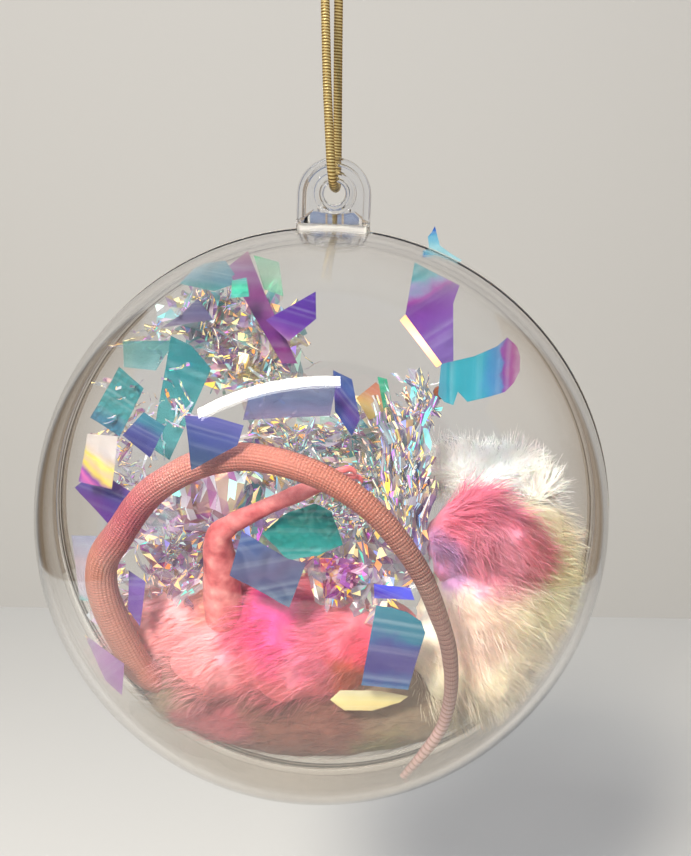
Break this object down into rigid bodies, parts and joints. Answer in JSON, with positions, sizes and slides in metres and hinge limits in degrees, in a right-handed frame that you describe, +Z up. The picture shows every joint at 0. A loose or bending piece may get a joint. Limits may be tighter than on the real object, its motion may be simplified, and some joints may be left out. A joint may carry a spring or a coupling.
{
  "type": "filled plastic ball ornament",
  "caption": "Two-part clear plastic ball ornament on a gold cord, filled with dyed fur, a tail and foot, and cut iridescent film.",
  "frame": {"origin": "centre of the knot at the top of the hanging cord, where a hook or nail takes the loop", "axes": "+Z up, +X to the right, -Y towards the viewer, along the axis of the two moulded halves"},
  "size_m": [0.1006, 0.1, 0.1572],
  "materials": {
    "gold_cord": "metallic yarn wrapped over an elastic core",
    "clear_shell": "clear injection-moulded polystyrene, glossy",
    "bare_skin": "scaly bare skin, dyed salmon",
    "pink_skin": "bare skin, dyed pink-red",
    "brown_skin": "undyed underside skin, dull",
    "pink_fur": "short dense fur dyed pink, coral and orange",
    "cream_fur": "soft long undyed fur",
    "white_fur": "wispy undyed fur",
    "rose_fur": "fur dyed rose",
    "brown_bead": "small polished seed bead",
    "teal_film": "iridescent film, teal side",
    "violet_film": "iridescent film, violet side",
    "blue_film": "iridescent film, blue side",
    "gold_film": "iridescent film, gold side",
    "clear_film": "iridescent film, nearly clear"
  },
  "bodies": {
    "knot": {"cord_knot": "gold_cord"},
    "cord": {"cord_front_strand": "gold_cord", "cord_back_strand": "gold_cord"},
    "back_half": {"back_shell": "clear_shell", "tail": "bare_skin", "hind_leg": "pink_skin", "hind_foot": "pink_skin", "pink_fur": "pink_fur", "bare_skin": "brown_skin", "cream_fur": "cream_fur", "white_fur_wisp": "white_fur", "rose_fur": "rose_fur", "brown_bead": "brown_bead", "film_shard_in_seam": "clear_film", "film_tall_strip": "violet_film", "film_orange_edge": "gold_film", "film_curled_strip": "teal_film", "film_hammered_teal": "teal_film", "film_long_teal": "teal_film", "film_teal_corner": "teal_film", "film_violet_triangle": "violet_film", "film_violet_square": "violet_film", "film_streaked": "gold_film", "film_purple_square": "violet_film", "film_pale_square": "clear_film", "film_lilac": "violet_film", "film_blue_square": "blue_film", "film_purple_strip": "violet_film", "film_purple_flag": "violet_film", "film_mint": "teal_film", "film_teal_chip": "teal_film", "film_green_chip": "teal_film", "film_centre_fold": "blue_film", "film_clear_sheet": "clear_film", "film_green_strip": "teal_film", "film_yellow_leaf": "gold_film", "shred_bundle": "clear_film", "shred_mass": "clear_film", "film_big_blue": "blue_film", "film_blue_band": "blue_film", "film_cream_oval": "gold_film", "film_grey_square": "blue_film", "film_crinkled_teal": "teal_film", "film_pink_crumple": "violet_film", "film_clear_crumple": "clear_film", "shred_tuft_left": "clear_film", "film_violet_low": "violet_film"},
    "front_half": {"front_shell": "clear_shell"}
  },
  "joints": [
    {"name": "cord_sways_front_to_back", "type": "hinge", "parent": "knot", "child": "cord", "pos_m": [0, 0, 0], "axis": [1, 0, 0], "range_deg": [-30, 30]},
    {"name": "ball_swings_side_to_side", "type": "hinge", "parent": "cord", "child": "back_half", "pos_m": [0.0004, 0, -0.04], "axis": [0, 1, 0], "range_deg": [-28, 28]},
    {"name": "front_half_opens", "type": "hinge", "parent": "back_half", "child": "front_half", "pos_m": [0.00061, 0, -0.0348], "axis": [-0.9992, 0, 0.0401], "range_deg": [0, 26]}
  ]
}
